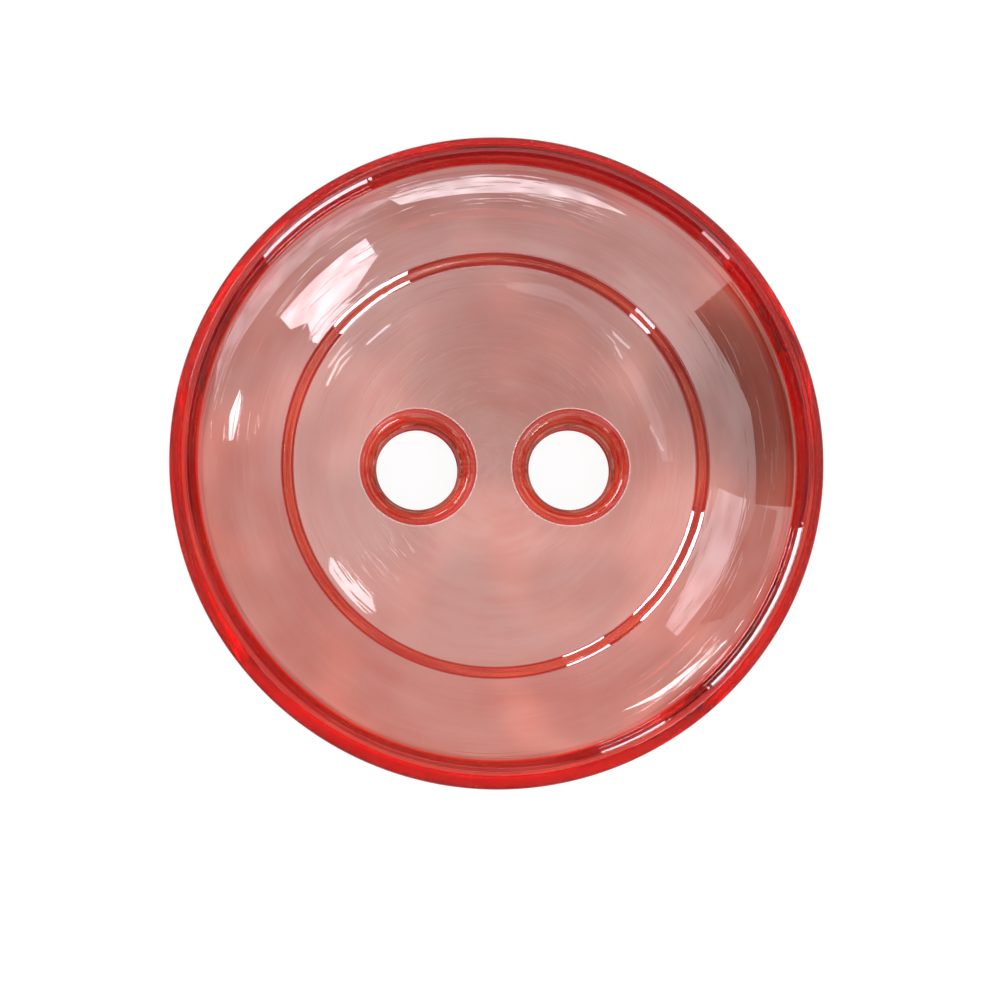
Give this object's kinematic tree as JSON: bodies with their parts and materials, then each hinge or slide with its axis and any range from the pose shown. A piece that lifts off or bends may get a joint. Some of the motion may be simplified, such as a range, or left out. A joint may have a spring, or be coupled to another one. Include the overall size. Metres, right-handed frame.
{
  "type": "two-hole sew-through button",
  "caption": "Round transparent sew-through button with a raised rim, a dished front with a stepped well, a flat back and two sewing holes.",
  "frame": {"origin": "centre of the back face, on the button's axis", "axes": "+Z out of the front face along the button's axis, X through both sewing holes"},
  "size_m": [0.0124, 0.0125, 0.0028],
  "materials": {
    "clear_red_plastic": "polished transparent red resin, clear enough to see through, with fine turning marks"
  },
  "bodies": {
    "root": {"button": "clear_red_plastic"}
  },
  "joints": []
}
